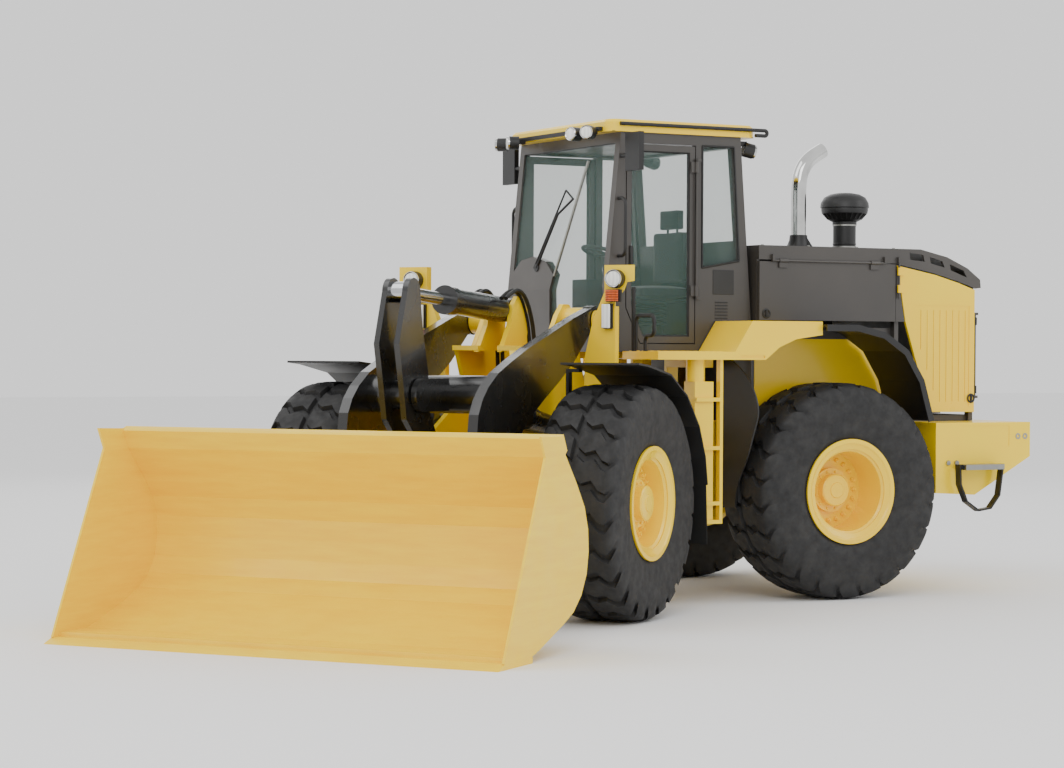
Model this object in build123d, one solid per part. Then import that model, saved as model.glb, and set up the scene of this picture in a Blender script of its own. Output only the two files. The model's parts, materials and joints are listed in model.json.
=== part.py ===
from build123d import *
import math
import os

# Wheel loader, articulated in the middle. Millimetres.
# Everything is first placed in machine coordinates: the ground under the
# articulation pin is the origin, the rear half points along +X and +Z is up.
# The front half is built straight ahead and then turned about the pin.

# Driving dimensions
WHEELBASE = 3303
FRONT_TURN = 37
TYRE_RADIUS = 815
TYRE_HALF = 300
WHEEL_TRACK = 2120
RIM_RADIUS = 395
RIM_SEAT = 325
SPINDLE_RADIUS = 75
RUNNING_FIT = 0.05
GAP = 6
SOFT_GAP = 0.3
LUG_DEPTH = 32

# Points of the lift linkage, seen from the side of the straight machine (X, Z)
BOOM_PIVOT = (800, 2080)
BUCKET_PIVOT = (3240, 340)
BELL_PIVOT = (2780, 1560)
ROD_EYE = (2830, 2245)
TILT_BASE = (1200, 2150)
LINK_TOP = (2440, 1065)
LINK_FRONT = (3105, 640)
LIFT_EYE = (1860, 1420)
LIFT_BASE = (613, 1200)
PIN = 40
ARM_Y = 490
ARM_HALF = 36
BELL_Y = 95
BELL_PLATE = 40
LIFT_Y = 400
LIFT_EYE_HALF = 45.7

# Steering rams, seen from above (X, Y)
STEER_BASE = (-700, 380)
STEER_EYE = (300, 330)
STEER_Z = 900
STEER_EYE_HALF = 59.7
STEER_PIN = 22

# Bucket
BUCKET_HALF = 1583
BUCKET_LIP = 4605
BUCKET_WALL = 16

# Cab and hood
CAB_HALF = 780
CAB_FLOOR = 1854
ROOF_LOW = 3478
HOOD_HALF = 860
DECK_TOP = 1860
DECK_THICK = 60
DECK_EDGE = 1300
FENDER_STEP = 2088
FENDER_TOP = 2066
RAIL_RADIUS = 15

AXLE_X = WHEELBASE / 2
AXLE_Z = TYRE_RADIUS
TYRE_Y = WHEEL_TRACK / 2


def block(x0, x1, y0, y1, z0, z1):
    size = Box(abs(x1 - x0), abs(y1 - y0), abs(z1 - z0))
    return Pos((x0 + x1) / 2, (y0 + y1) / 2, (z0 + z1) / 2) * size


def side_plate(points, y0, y1):
    """A plate with an outline of (X, Z) points, from y0 to y1."""
    flat = make_face(Polyline(*[(x, z) for x, z in points], close=True))
    solid = extrude(flat, amount=abs(y1 - y0))
    return Pos(0, max(y0, y1), 0) * Rot(90, 0, 0) * solid


def top_plate(points, z0, z1):
    """A plate with an outline of (X, Y) points, from z0 to z1."""
    return Pos(0, 0, z0) * extrude(make_face(Polyline(*points, close=True)), amount=z1 - z0)


def front_plate(points, x0, x1):
    """A plate with an outline of (Y, Z) points, from x0 to x1."""
    flat = make_face(Polyline(*points, close=True))
    return Plane(origin=(x0, 0, 0), x_dir=(0, 1, 0), z_dir=(1, 0, 0)) * extrude(flat, amount=x1 - x0)


def bent_tube(points, bend, radius):
    """A round bar along a run of points, every corner bent to the same radius."""
    path = FilletPolyline(*points, radius=bend)
    start = Plane(origin=path @ 0, z_dir=path % 0)
    return sweep(start * Circle(radius), path=path)


def rod_between(start, end, radius):
    a, b = Vector(*start), Vector(*end)
    plane = Plane(origin=a, z_dir=(b - a).normalized())
    return plane * extrude(Circle(radius), amount=(b - a).length)


def pin_y(x, z, radius, y0, y1):
    return rod_between((x, min(y0, y1), z), (x, max(y0, y1), z), radius)


def rounded_link(points, radius, y0, y1):
    """A plate that follows a run of (X, Z) points with rounded ends and knees."""
    parts = []
    for x, z in points:
        parts.append(pin_y(x, z, radius, y0, y1))
    for (xa, za), (xb, zb) in zip(points, points[1:]):
        length = math.hypot(xb - xa, zb - za)
        nx, nz = -(zb - za) / length * radius, (xb - xa) / length * radius
        outline = [(xa + nx, za + nz), (xb + nx, zb + nz), (xb - nx, zb - nz), (xa - nx, za - nz)]
        parts.append(side_plate(outline, y0, y1))
    return join(parts)


def thicken(points, amount):
    """Closes a run of points into a strip by offsetting it to its right."""
    shifted = []
    last = len(points) - 1
    for i, (x, z) in enumerate(points):
        xa, za = points[max(i - 1, 0)]
        xb, zb = points[min(i + 1, last)]
        length = math.hypot(xb - xa, zb - za)
        shifted.append((x + (zb - za) / length * amount, z - (xb - xa) / length * amount))
    return points + shifted[::-1]


def join(parts):
    whole = parts[0]
    for part in parts[1:]:
        whole = whole + part
    return whole


def both_sides(shape):
    return shape + mirror(shape, about=Plane.XZ)


def spin_profile(points):
    """Turns a closed profile of (radius, y) points about the Y axis."""
    face = make_face(Polyline(*[(r, y) for r, y in points], close=True))
    return revolve(face, axis=Axis.Y, revolution_arc=360)


nodes = {}


def add(name, shape, front=False):
    if front:
        shape = Rot(0, 0, FRONT_TURN) * shape
    nodes[name] = shape


# Wheels
LUGS = 22


def make_tyre():
    """A plain carcass with two rows of slanted blocks, trimmed to the tyre's rounded outline."""
    floor = TYRE_RADIUS - LUG_DEPTH
    carcass = [
        (RIM_SEAT, -226), (RIM_SEAT, 226), (RIM_RADIUS - 20, 260), (402, 265), (430, 285), (560, TYRE_HALF),
        (660, 290), (730, 258), (floor, 190), (floor, -190), (730, -258), (660, -290),
        (560, -TYRE_HALF), (430, -285), (402, -265), (RIM_RADIUS - 20, -260),
    ]
    envelope = [
        (700, -296), (700, 296), (760, 288), (TYRE_RADIUS - 14, 250), (TYRE_RADIUS, 130),
        (TYRE_RADIUS, -130), (TYRE_RADIUS - 14, -250), (760, -288),
    ]
    tyre = spin_profile(carcass)
    trim = spin_profile(envelope)
    outline = [(-28, -8), (40, -8), (78, 120), (150, 190), (150, 310), (48, 310), (36, 215), (-22, 140)]
    lug = Pos(0, 0, 690) * extrude(make_face(Polyline(*outline, close=True)), amount=140)
    row = lug & trim
    pitch = 360 / LUGS
    for i in range(LUGS):
        tyre += Rot(0, i * pitch, 0) * row
        tyre += Rot(0, (i + 0.5) * pitch, 0) * Rot(0, 0, 180) * row
    return tyre


def make_rim(disc_y):
    """Outer side towards +Y. disc_y is how far out the wheel disc lies."""
    seat = RIM_SEAT - SOFT_GAP
    barrel = [
        (seat, -232), (seat, 232), (RIM_RADIUS - 22, 266), (RIM_RADIUS, 268), (RIM_RADIUS, 284),
        (RIM_RADIUS - 30, 284), (300, 240), (290, disc_y + 20), (290, disc_y - 20), (300, -240),
        (RIM_RADIUS - 30, -284), (RIM_RADIUS, -284), (RIM_RADIUS, -268), (RIM_RADIUS - 22, -266),
    ]
    rim = spin_profile(barrel)
    disc = pin_y(0, 0, 292, disc_y - 12, disc_y + 12)
    hub = pin_y(0, 0, 165, disc_y - 150, disc_y + 60) + pin_y(0, 0, 120, disc_y + 60, disc_y + 100)
    bore = pin_y(0, 0, SPINDLE_RADIUS + RUNNING_FIT, disc_y - 151, disc_y)
    return rim + disc + hub - bore


def wheel_place(x, side):
    turn = 0 if side > 0 else 180
    return Pos(x, side * TYRE_Y, AXLE_Z) * Rot(0, 0, turn)


REAR_DISC = -40
FRONT_DISC = 110
tyre = make_tyre()
for end, x, disc in (("front", AXLE_X, FRONT_DISC), ("rear", -AXLE_X, REAR_DISC)):
    rim = make_rim(disc)
    for side_name, side in (("left", 1), ("right", -1)):
        place = wheel_place(x, side)
        add(f"{end}_{side_name}_tyre", place * tyre, front=end == "front")
        add(f"{end}_{side_name}_rim", place * rim, front=end == "front")


def make_axle(x, disc_y):
    """A banjo housing, two tapered tubes and the spindles that carry the hubs."""
    mid = Pos(x, 0, AXLE_Z) * scale(Sphere(265), (1, 1.1, 1.0))
    reach = TYRE_Y + disc_y - 20
    tube = pin_y(x, AXLE_Z, 145, 0, 660) + pin_y(x, AXLE_Z, 215, 600, 690)
    tube += pin_y(x, AXLE_Z, SPINDLE_RADIUS, 690, reach)
    return mid + both_sides(tube)


add("rear_axle", make_axle(-AXLE_X, REAR_DISC))
add("front_axle", make_axle(AXLE_X, FRONT_DISC), front=True)

# Rear frame
hinge_levels = ((1120, 1240), (560, 680))
HINGE_PLATE = 40
HINGE_PIN = 48
rear_side = [(-2500, 760), (-2500, 1310), (-1500, 1330), (-500, 1300), (-300, 1240),
             (-300, 560), (-500, 560), (-1200, 700)]
rear_chassis = both_sides(side_plate(rear_side, 330, 365))
rear_chassis += block(-560, -520, -330, 330, 560, 1290)
rear_chassis += block(-2500, -2460, -330, 330, 800, 1300)
rear_chassis += block(-1300, -1260, -330, 330, 1080, 1320)
for low, high in hinge_levels:
    for z in (low - HINGE_PLATE, high):
        outline = [(-540, -340), (-540, 340), (-300, 340), (0, 110), (60, 0), (0, -110), (-300, -340)]
        rear_chassis += top_plate(outline, z, z + HINGE_PLATE)
    rear_chassis += rod_between((0, 0, low - HINGE_PLATE - 12), (0, 0, high + HINGE_PLATE + 12), HINGE_PIN)
for x in (-900, -400):
    rear_chassis += both_sides(block(x, x + 80, 330, 365, 1250, CAB_FLOOR - SOFT_GAP))
ARCH_WALL = TYRE_Y - TYRE_HALF - 8
arch = block(-2400, -1165, 360, ARCH_WALL, 1288, 1302) + block(-2400, -1165, ARCH_WALL - 12, ARCH_WALL, 1302, 2046)
rear_chassis += both_sides(arch)
rear_chassis -= pin_y(-AXLE_X, AXLE_Z, 295, -400, 400)
axle_saddle = both_sides(block(-AXLE_X - 150, -AXLE_X + 150, 330, 420, AXLE_Z + 140, AXLE_Z + 320))
rear_chassis += axle_saddle - pin_y(-AXLE_X, AXLE_Z, 145 + SOFT_GAP, -430, 430)
rear_chassis -= both_sides(block(-790, -280, 240, 420, STEER_Z - 80, STEER_Z + 80))
bx, by = STEER_BASE
steer_ear = block(bx - 60, bx + 60, 345, by + 60, STEER_Z - 90, STEER_Z - 60)
steer_ear += block(bx - 60, bx + 60, 345, by + 60, STEER_Z + 60, STEER_Z + 90)
steer_ear += rod_between((bx, by, STEER_Z - 95), (bx, by, STEER_Z + 95), STEER_PIN)
rear_chassis += both_sides(steer_ear)
add("rear_chassis", rear_chassis)

# Counterweight with the drawbar jaw at the back
COUNTER_HALF = 1250
counter_outline = [(-2505, 780), (-2505, 1320), (-3420, 1320), (-3420, 1052), (-2880, 760)]
counterweight = side_plate(counter_outline, -COUNTER_HALF, COUNTER_HALF)
side_panel = block(-3215, -2760, COUNTER_HALF - 4, COUNTER_HALF + 1, 1135, 1295)
counterweight -= both_sides(side_panel)
JAW_X = -3350
JAW_HOLE = 32
JAW_LOW, JAW_HIGH, JAW_PLATE = 800, 1010, 50
counterweight += block(-3280, -2900, -130, 130, JAW_LOW, 1000)
for z in (JAW_LOW, JAW_HIGH - JAW_PLATE):
    counterweight += block(-3430, -3200, -110, 110, z, z + JAW_PLATE)
counterweight -= block(-3430, -3285, -400, 400, JAW_LOW + JAW_PLATE, JAW_HIGH - JAW_PLATE)
counterweight -= rod_between((JAW_X, 0, 700), (JAW_X, 0, JAW_HIGH + 90), JAW_HOLE)
add("counterweight", counterweight)

ENGINE_LOW = 1320 + SOFT_GAP
add("engine_block", block(-2350, -1260, -315, 315, ENGINE_LOW, 1980)
    + block(-2250, -1400, -220, 220, 1980, 2200) + block(-1900, -1500, -150, 150, 2200, 2330))

# Hood
HOOD_FRONT = -1130
SKIN = 20
cap_edge = [(-3180, 2369), (-3010, 2424), (-2780, 2484), (-2407, 2552)]
outer = [(HOOD_FRONT, 2560), (HOOD_FRONT, 2668), (-2640, 2668), (-2900, 2612), (-3100, 2528),
         (-3225, 2440), (-3232, 2375)] + cap_edge
inner = [(HOOD_FRONT - SKIN, 2500), (HOOD_FRONT - SKIN, 2648), (-2638, 2648), (-2892, 2593),
         (-3090, 2510), (-3205, 2430), (-3212, 2240), (-2900, 2240)]
hood = side_plate(outer, -HOOD_HALF, HOOD_HALF) - side_plate(inner, -HOOD_HALF + SKIN, HOOD_HALF - SKIN)
hood += block(HOOD_FRONT - 25, HOOD_FRONT, -HOOD_HALF + 30, HOOD_HALF - 30, 1900, 2600)
hood -= block(HOOD_FRONT - 30, HOOD_FRONT + 5, -500, 500, 1899, 2300)
for slot in ([(-2532, 2640), (-2665, 2625), (-2679, 2572), (-2540, 2585)],
             [(-2728, 2612), (-2850, 2580), (-2874, 2530), (-2740, 2560)],
             [(-2923, 2560), (-3060, 2510), (-3094, 2455), (-2935, 2510)]):
    hood -= side_plate(slot, -HOOD_HALF - 1, HOOD_HALF + 1)
POST_IN = HOOD_HALF - 80
post = block(-2450, -2412, POST_IN, HOOD_HALF - 30, 1321, 2600)
post += block(-2450, -2412, POST_IN + 20, HOOD_HALF - SKIN / 2, 2565, 2600)
post += block(-3180, -3140, POST_IN, HOOD_HALF - 30, 1321, 2400)
post += block(-3180, -3140, POST_IN + 20, HOOD_HALF - SKIN / 2, 2385, 2465)
post += block(-3180, -2412, POST_IN, POST_IN + 20, 1321, 1370)
post += block(-2450, -2412, 365 + SOFT_GAP, POST_IN, 1321, 1370)
post += block(HOOD_FRONT - 25, HOOD_FRONT, 330, POST_IN - 20, 1321, 1900)
hood += both_sides(post)
hood += block(-3180, -3140, -POST_IN, POST_IN, 1321, 1370)
hood += both_sides(block(-2450, HOOD_FRONT, POST_IN - 20, POST_IN, 1960, 2050))

HINGE_ROD = 8


def hinge_rod(start, end, knuckles, knuckle_half, radius):
    """A fixed rod from start to end, and the door's knuckles that turn on it."""
    a, b = Vector(*start), Vector(*end)
    along = (b - a).normalized()
    rod = rod_between(start, end, HINGE_ROD)
    sleeves = []
    for share in knuckles:
        middle = a + (b - a) * share
        low, high = middle - along * knuckle_half, middle + along * knuckle_half
        sleeves.append(rod_between(low, high, radius))
    bore = rod_between(start, end, HINGE_ROD + RUNNING_FIT)
    return rod, join(sleeves), bore


SEAM = 6
door_low = FENDER_STEP + 12
ENGINE_DOOR_REAR = -2400
engine_door = [(HOOD_FRONT - SEAM, door_low), (HOOD_FRONT - SEAM, 2552 - SEAM),
               (ENGINE_DOOR_REAR, 2552 - SEAM), (ENGINE_DOOR_REAR, door_low)]
# The fixed strip of skin between the two doors, which the engine door closes against
strip = [(ENGINE_DOOR_REAR - SEAM, 2564), (-2412, 2564), (-2412, 2536), (-2492, door_low),
         (ENGINE_DOOR_REAR - SEAM, door_low)]
hood += both_sides(side_plate(strip, HOOD_HALF - 34, HOOD_HALF - 4))
cooler_door = [(-2412 - SEAM, 2536), (-2492 - SEAM, door_low), (-2735, 1394), (-3172, 1391),
               (-3172, 2358), (-3014, 2410), (-2786, 2470)]
door_panel = [(-2590, 2230), (-3120, 2230), (-3120, 1440), (-2800, 1440), (-2590, 2010)]
hood_hinges = []
for name, side in (("left", 1), ("right", -1)):
    y0, y1 = side * (HOOD_HALF - 24), side * HOOD_HALF
    hinge_y, hinge_z = side * (HOOD_HALF + 14), 2552
    rod, sleeves, bore = hinge_rod((-2300, hinge_y, hinge_z), (-1240, hinge_y, hinge_z), (0.1, 0.9), 40, 14)
    for x in (-2194, -1346):
        sleeves += block(x - 40, x + 40, y1, y1 + side * 14, 2500, hinge_z)
    add(f"engine_door_{name}", side_plate(engine_door, y0, y1) + sleeves - bore)
    for x in (-2300, -1260):
        rod += block(x, x + 20, y1, y1 + side * 24, hinge_z, 2600)
    hood_hinges.append(rod)
    hinge_x = -2424
    rod, sleeves, bore = hinge_rod((hinge_x, hinge_y, 2280), (hinge_x, hinge_y, 2580), (0.25, 0.7), 30, 14)
    for z in (2355, 2490):
        sleeves += block(hinge_x - 50, hinge_x, y1, y1 + side * 14, z - 30, z + 30)
    panel = side_plate(door_panel, side * (HOOD_HALF - 4), side * (HOOD_HALF + 1))
    add(f"cooler_door_{name}", side_plate(cooler_door, y0, y1) - panel + sleeves - bore)
    rod += block(hinge_x - 12, hinge_x + 12, y1, y1 + side * 24, 2560, 2600)
    hood_hinges.append(rod)

FAN_X = -3080
FAN_Z = 1850
cooler = block(-2900, -2760, -640, 640, 1325, 2250)
cooler += block(-3010, -2900, -640, 640, 1380, 2250) - block(-3011, -2899, -600, 600, 1420, 2210)
cooler += block(-2960, -2920, -640, 640, FAN_Z - 40, FAN_Z + 40)
cooler += rod_between((-2950, 0, FAN_Z), (-3060, 0, FAN_Z), 25)
add("cooler", cooler)
fan = rod_between((FAN_X - 60, 0, FAN_Z), (FAN_X + 30, 0, FAN_Z), 110)
fan -= rod_between((FAN_X - 30, 0, FAN_Z), (FAN_X + 31, 0, FAN_Z), 25 + RUNNING_FIT)
for i in range(7):
    blade = Pos(FAN_X - 10, 0, 0) * Rot(0, 0, 32) * Box(12, 90, 300)
    fan += Pos(0, 0, FAN_Z) * Rot(i * 360 / 7, 0, 0) * Pos(0, 0, 235) * blade
add("fan", fan)
GRILLE_X = -3190
GRILLE_HALF = HOOD_HALF - 90
mesh_half = GRILLE_HALF - 70
grille = block(GRILLE_X - 30, GRILLE_X, -GRILLE_HALF, GRILLE_HALF, 1400, 2355)
grille -= block(GRILLE_X - 31, GRILLE_X + 1, -mesh_half, mesh_half, 1460, 2300)
for i in range(15):
    z = 1490 + i * 54
    grille += block(GRILLE_X - 22, GRILLE_X - 8, -mesh_half - 1, mesh_half + 1, z, z + 18)
grille_pivot = (GRILLE_X - 38, GRILLE_HALF + 24)
rod, sleeves, bore = hinge_rod((*grille_pivot, 1500), (*grille_pivot, 2180), (0.1, 0.9), 30, 16)
for z in (1568, 2112):
    sleeves += block(GRILLE_X - 44, GRILLE_X - 28, GRILLE_HALF - 10, GRILLE_HALF + 24, z - 30, z + 30)
add("rear_grille", grille + sleeves - bore)
for z in (1500, 2160):
    rod += block(GRILLE_X - 50, -3170, GRILLE_HALF + 14, HOOD_HALF - 40, z, z + 20)
add("hood", hood + join(hood_hinges) + rod)

# Cab
WALL = 60
SILL = CAB_FLOOR + 50
cab_side = [(60, CAB_FLOOR), (150, 2330), (35, ROOF_LOW), (-1010, ROOF_LOW), (-1112, 2100),
            (-1118, 2000), (-1090, 1900), (-1040, CAB_FLOOR)]
cab_inner = [(0, SILL), (88, 2330), (-27, 3420), (-948, 3420), (-1052, 2100), (-1052, 2000), (-1010, SILL)]
cab = side_plate(cab_side, -CAB_HALF, CAB_HALF) - side_plate(cab_inner, -CAB_HALF + WALL, CAB_HALF - WALL)
DOOR_FRONT = -8
DOOR_REAR = -615
HEAD = 3400
door_hole = [(DOOR_FRONT, 2180), (DOOR_FRONT, HEAD), (DOOR_REAR, HEAD), (DOOR_REAR, SILL + 10), (-135, SILL + 10)]
side_window = [(-672, HEAD), (-950, HEAD), (-1000, 2545), (-672, 2487)]
cab -= side_plate(door_hole, -CAB_HALF - 1, CAB_HALF + 1)
cab -= side_plate(side_window, -CAB_HALF - 1, CAB_HALF + 1)
SCREEN_HALF = CAB_HALF - 70
screen = [(SCREEN_HALF, 2060), (SCREEN_HALF, HEAD), (-SCREEN_HALF, HEAD), (-SCREEN_HALF, 2480), (-600, 2565),
          (-420, 2590), (-200, 2545), (-60, 2440), (-188, 2060)]
cab -= front_plate(screen, -100, 300)
REAR_WINDOW = 690
cab -= block(-1300, -900, -REAR_WINDOW, REAR_WINDOW, 2700, HEAD)

ROOF_FRONT = 140
ROOF_HALF = CAB_HALF + 20
roof = block(-1150, ROOF_FRONT, -ROOF_HALF, ROOF_HALF, ROOF_LOW, 3570)
roof = fillet(roof.edges().filter_by(Axis.Z), 90)
roof = chamfer(roof.faces().sort_by(Axis.Z)[-1].edges(), 20)
add("cab_roof", roof)

screen_line = [(70, 2050), (126, 2330), (18, 3410)]
glass = side_plate(thicken(screen_line, 8), -SCREEN_HALF, SCREEN_HALF) & front_plate(screen, -100, 300)
rear_pane = side_plate(thicken([(-990, HEAD + 20), (-1044, 2680)], 8), -REAR_WINDOW, REAR_WINDOW)
glass += rear_pane & block(-1300, -900, -REAR_WINDOW, REAR_WINDOW, 2700, HEAD)
add("cab_glass", glass)
add("side_glass", both_sides(side_plate(side_window, CAB_HALF - 40, CAB_HALF - 34)))

cab_hinges = []
door_outline = [(DOOR_FRONT - 8, 2183), (DOOR_FRONT - 8, HEAD - 8), (DOOR_REAR + 8, HEAD - 8),
                (DOOR_REAR + 8, SILL + 18), (-138, SILL + 18)]
door_window = [(-56, 2200), (-56, 3345), (-562, 3345), (-562, SILL + 66), (-160, SILL + 66)]
for name, side in (("left", 1), ("right", -1)):
    y0, y1 = side * (CAB_HALF - 45), side * CAB_HALF
    frame = side_plate(door_outline, y0, y1) - side_plate(door_window, y0 - side, y1 + side)
    hinge_x = DOOR_REAR + 4
    hinge_place = (hinge_x, side * (CAB_HALF + 20))
    rod, sleeves, bore = hinge_rod((*hinge_place, 2250), (*hinge_place, 3300), (0.06, 0.94), 40, 18)
    for z in (2313, 3237):
        sleeves += block(hinge_x, hinge_x + 46, y1, y1 + side * 20, z - 40, z + 40)
    add(f"cab_door_{name}", frame + sleeves - bore)
    for z in (2250, 3280):
        rod += block(hinge_x - 34, hinge_x, y1, y1 + side * 32, z, z + 20)
    cab_hinges.append(rod)
    pane = side_plate(door_window, side * (CAB_HALF - 25), side * (CAB_HALF - 19))
    add(f"door_glass_{name}", pane)

add("cab_frame", cab + join(cab_hinges))

seat = block(-930, -470, -240, 240, 2260, 2370) + block(-930, -820, -230, 230, 2370, 2960)
seat += block(-830, -560, -150, 150, SILL, 2260)
add("seat", seat)
controls = rod_between((-390, 0, CAB_FLOOR + 56.5), (-300, 0, 2590), 45)
wheel_plane = Plane(origin=(-298, 0, 2604), z_dir=(-0.3, 0, 0.954))
controls += wheel_plane * Torus(190, 15)
controls += wheel_plane * Box(380, 30, 16) + wheel_plane * Box(30, 380, 16)
controls += block(-800, -310, -560, -330, SILL, 2420)
add("controls", controls)

# Platforms, ladders and fenders beside the cab
DECK_LOW = DECK_TOP - DECK_THICK
DECK_INNER = CAB_HALF + 10
deck = block(-905, 20, DECK_INNER, DECK_EDGE, DECK_LOW, DECK_TOP)
deck += block(-700, -600, 365 + SOFT_GAP, 400, 1000, DECK_LOW) + block(-700, -600, 400, 900, DECK_TOP - 120, DECK_LOW)
step_thick = FENDER_STEP - FENDER_TOP - SOFT_GAP
step_line = [(-640, DECK_TOP), (-790, FENDER_STEP), (-1412, FENDER_STEP)]
deck += side_plate(thicken(step_line, -step_thick), DECK_INNER, DECK_EDGE)
valance = [(20, DECK_LOW), (20, DECK_TOP)] + step_line
valance += [(-1412, 1987), (-1180, 1955), (-1030, 1895), (-915, 1806), (-905, DECK_LOW)]
deck += side_plate(valance, DECK_EDGE - 12, DECK_EDGE)
deck -= block(-900, -690, DECK_EDGE - 8, DECK_EDGE + 1, 1812, 1832)
deck -= block(-1165, -1120, CAB_HALF, HOOD_HALF - 26, FENDER_TOP - 10, FENDER_STEP + 10)
LADDER_LOW = 600
ladder = block(-490, -330, 1090, 1240, LADDER_LOW, 1640)
ladder += rod_between((-380, 1165, 1640), (-380, 1165, DECK_LOW), 70)
ladder += block(-558, -532, 1215, 1265, LADDER_LOW, DECK_LOW)
for z in (LADDER_LOW, 735, 1140, 1495):
    ladder += block(-558, -330, 1150, 1265, z, z + 28)
add("platforms", both_sides(deck + ladder))

fender_line = [(-1412 - SOFT_GAP, FENDER_TOP), (-1700, FENDER_TOP), (-1950, 2010), (-2160, 1878), (-2310, 1650), (-2404, 1345)]
rear_fender = side_plate(thicken(fender_line, -14), 780 + SOFT_GAP, 1360)
rear_fender += side_plate(thicken(fender_line, -50), 1346, 1360)
FLAP_X = -806
flap_top = DECK_LOW - SOFT_GAP
flap_edge = [(1000, flap_top), (1221, 1668), (1336, 1528), (1369, 1418), (1323, 1286), (1214, 1053), (1103, 871), (1073, 700)]
flap_outline = Spline(*flap_edge) + Polyline((1073, 700), (850, 690), (800, 1000), (790, flap_top), (1000, flap_top))
flap = Plane(origin=(FLAP_X, 0, 0), x_dir=(0, 1, 0), z_dir=(1, 0, 0)) * extrude(make_face(flap_outline), amount=12)
add("rear_fenders", both_sides(rear_fender + flap))

# Exhaust and air intake on the hood
HOOD_TOP = 2668
exhaust = bent_tube([(-2071, 0, HOOD_TOP), (-2071, 0, 3240), (-2310, 0, 3490)], 220, 62)
exhaust += rod_between((-2071, 0, HOOD_TOP), (-2071, 0, HOOD_TOP + 70), 95)
for foot, top in ((-1871, -1990), (-2290, -2150)):
    lean = 70 if foot > top else -70
    leg = side_plate([(foot, HOOD_TOP), (foot - lean, HOOD_TOP), (-2071, 2930), (top, 2950)], -50, 50)
    exhaust += leg
add("exhaust", exhaust)
intake_profile = [(0, HOOD_TOP), (98, HOOD_TOP), (98, 2914), (190, 2914), (197, 2950), (197, 3040),
                  (160, 3110), (70, 3149), (0, 3149)]
intake_face = Plane.XZ * make_face(Polyline(*intake_profile, close=True))
add("precleaner", Pos(-2519, 0, 0) * revolve(intake_face, axis=Axis.Z))

# Front frame
A_X, A_Z = BOOM_PIVOT
G_X, G_Z = TILT_BASE
front_side = [(150, 540), (150, 1300), (420, 1500), (680, 2150), (760, 2200), (860, 2200), (960, 2120),
              (1500, 1450), (2080, 1150), (2130, 950), (2080, 720), (1100, 600), (500, 540)]
FRONT_INNER = 270
front_chassis = both_sides(side_plate(front_side, FRONT_INNER, FRONT_INNER + 35))
for low, high in hinge_levels:
    lug = top_plate([(230, -290), (230, 290), (60, 120), (-60, 90), (-90, 0), (-60, -90), (60, -120)],
                    low + GAP, high - GAP)
    front_chassis += lug - rod_between((0, 0, low), (0, 0, high), HINGE_PIN + RUNNING_FIT)
front_chassis += block(190, 230, -FRONT_INNER, FRONT_INNER, 560, 1280)
front_chassis += block(2040, 2080, -FRONT_INNER, FRONT_INNER, 760, 1120)
front_chassis += block(560, 600, -FRONT_INNER, FRONT_INNER, 1300, 1700)
front_chassis -= pin_y(AXLE_X, AXLE_Z, 295, -400, 400)
saddle = both_sides(block(AXLE_X - 150, AXLE_X + 150, FRONT_INNER, 400, AXLE_Z + 140, AXLE_Z + 320))
front_chassis += saddle - pin_y(AXLE_X, AXLE_Z, 145 + SOFT_GAP, -430, 430)
FRONT_OUTER = FRONT_INNER + 35
boom_boss = pin_y(A_X, A_Z, 95, FRONT_OUTER, ARM_Y - ARM_HALF - GAP)
boom_boss += pin_y(A_X, A_Z, PIN, FRONT_OUTER, ARM_Y + ARM_HALF + GAP)
boom_boss += pin_y(A_X, A_Z, 75, ARM_Y + ARM_HALF + GAP, ARM_Y + ARM_HALF + GAP + 14)
h_x, h_z = LIFT_BASE
lift_boss = pin_y(h_x, h_z, PIN, FRONT_OUTER, LIFT_Y + 66) + pin_y(h_x, h_z, 60, FRONT_OUTER, LIFT_Y - LIFT_EYE_HALF - SOFT_GAP)
lift_boss += pin_y(h_x, h_z, 60, LIFT_Y + LIFT_EYE_HALF + SOFT_GAP, LIFT_Y + 66)
front_chassis += both_sides(boom_boss + lift_boss)
tower_ear = side_plate([(1040, 2060), (1070, 1960), (1060, 1900), (1500, 1850), (1350, 2040), (1300, 2190),
                        (1230, 2250), (1150, 2245), (1070, 2160)], 75, 110)
tower_ear += block(1040, 1500, 75, FRONT_INNER + 10, 1860, 1895)
front_chassis += both_sides(tower_ear) + block(1060, 1095, -75, 75, 1860, 1980)
front_chassis += both_sides(side_plate([(1000, 1500), (1000, 1880), (1480, 1880), (1300, 1500)],
                                       FRONT_INNER - 20, FRONT_INNER + 10))
front_chassis += pin_y(G_X, G_Z, PIN, -112, 112)
s_x, s_y = STEER_EYE
front_chassis -= both_sides(block(100, s_x + 110, 200, 420, STEER_Z - 80, STEER_Z + 80))
steer_ear = block(s_x - 60, s_x + 160, 285, s_y + 60, STEER_Z - 90, STEER_Z - 60)
steer_ear += block(s_x - 60, s_x + 160, 285, s_y + 60, STEER_Z + 60, STEER_Z + 90)
front_chassis += both_sides(steer_ear)
add("front_chassis", front_chassis, front=True)

fender_top = [(1980, 1766), (1804, 1753), (1393, 1690), (1082, 1540), (841, 1320), (716, 1095), (672, 899)]


front_fender = side_plate(thicken(fender_top, 14), 780, 1362)
front_fender += side_plate(thicken([(674, 925), (655, 700), (644, 470)], 10), 800, 1350)
front_fender += block(685, 735, FRONT_OUTER + SOFT_GAP, 800, 930, 985)
front_fender += block(1620, 1680, 690 + SOFT_GAP, 712, 905, 1735)
front_fender += block(1620, 1680, 690 + SOFT_GAP, 790, 1712, 1735)
add("front_fenders", both_sides(front_fender), front=True)

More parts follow.
